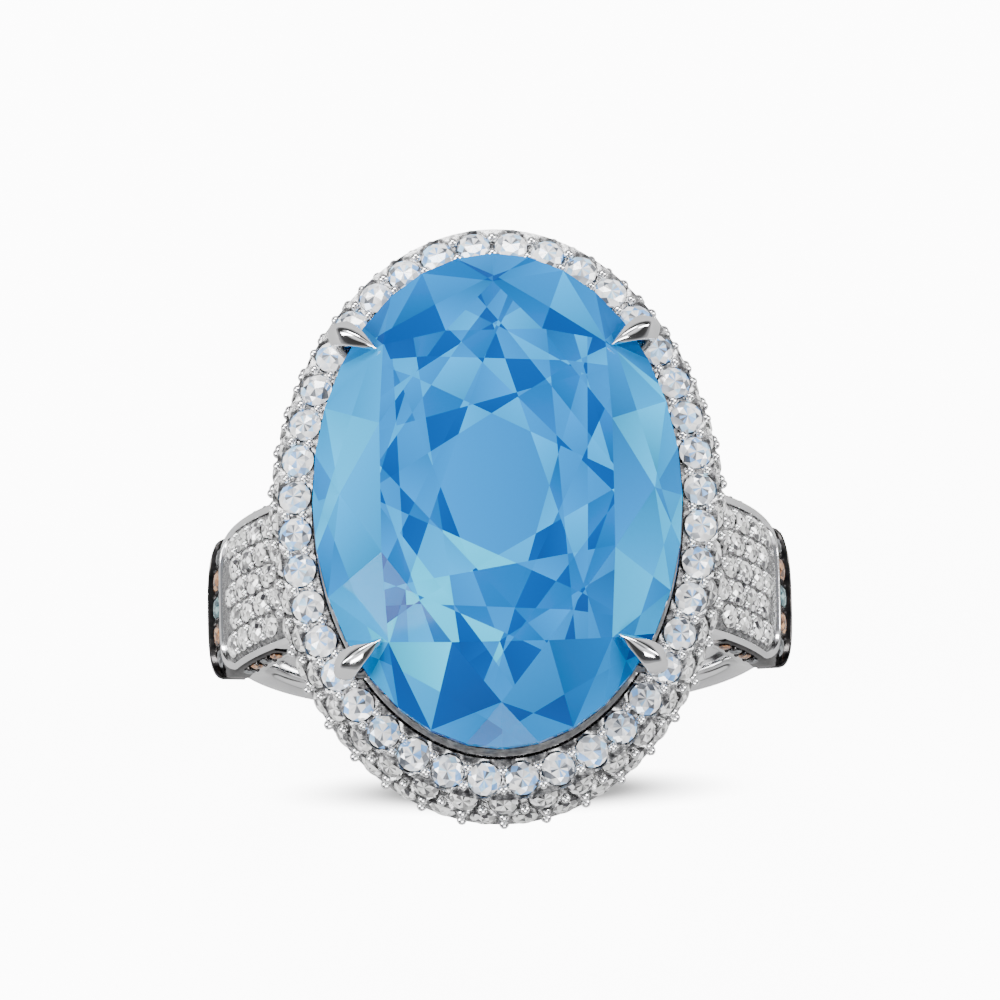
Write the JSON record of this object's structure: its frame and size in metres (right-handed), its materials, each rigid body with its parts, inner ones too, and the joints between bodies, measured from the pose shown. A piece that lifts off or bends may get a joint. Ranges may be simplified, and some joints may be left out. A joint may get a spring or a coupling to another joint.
{
  "type": "cocktail ring",
  "caption": "Cocktail ring: oval faceted centre stone in pointed claws over a domed pave halo, with pave shoulders, dark-stone collars and a plain polished band.",
  "frame": {"origin": "centre of the finger hole, halfway along it", "axes": "+Y along the finger hole, +Z out through the table of the centre stone, X across the finger"},
  "size_m": [0.0212, 0.0218, 0.0278],
  "materials": {
    "white_gold": "high-polished, rhodium-plated white gold",
    "pave_metal": "hand-cut bright white gold between pave stones, polished with fine graver marks",
    "black_rhodium": "polished black rhodium plating",
    "topaz": "polished faceted sky-blue topaz",
    "diamond": "polished faceted colourless diamond",
    "teal_stone": "polished faceted grey-teal stone",
    "cognac_stone": "polished faceted brown stone",
    "black_stone": "polished faceted black stone"
  },
  "bodies": {
    "root": {"shank": "white_gold", "gallery_inner_rail": "white_gold", "gallery_outer_rail": "white_gold", "gallery_struts": "white_gold", "basket_rail": "white_gold", "claw_front_right": "white_gold", "claw_front_left": "white_gold", "claw_back_right": "white_gold", "claw_back_left": "white_gold", "centre_stone": "topaz", "halo_frame": "pave_metal", "halo_stones_row_1": "diamond", "halo_stones_row_2": "diamond", "halo_stones_row_3": "diamond", "halo_inner_beads_row_1": "pave_metal", "halo_inner_beads_row_2": "pave_metal", "halo_inner_beads_row_3": "pave_metal", "halo_outer_beads_row_1": "pave_metal", "halo_outer_beads_row_2": "pave_metal", "halo_outer_beads_row_3": "pave_metal", "right_gallery_arm": "white_gold", "right_shoulder_plate": "pave_metal", "right_shoulder_rim": "white_gold", "right_shoulder_stones": "diamond", "right_shoulder_beads": "pave_metal", "right_collar": "black_rhodium", "right_collar_rim": "black_rhodium", "right_collar_teal_stone": "teal_stone", "right_collar_cognac_stones": "cognac_stone", "right_collar_black_stones": "black_stone", "right_collar_beads": "black_rhodium", "right_band_stones": "diamond", "right_band_beads": "pave_metal", "left_gallery_arm": "white_gold", "left_shoulder_plate": "pave_metal", "left_shoulder_rim": "white_gold", "left_shoulder_stones": "diamond", "left_shoulder_beads": "pave_metal", "left_collar": "black_rhodium", "left_collar_rim": "black_rhodium", "left_collar_teal_stone": "teal_stone", "left_collar_cognac_stones": "cognac_stone", "left_collar_black_stones": "black_stone", "left_collar_beads": "black_rhodium", "left_band_stones": "diamond", "left_band_beads": "pave_metal"}
  },
  "joints": []
}
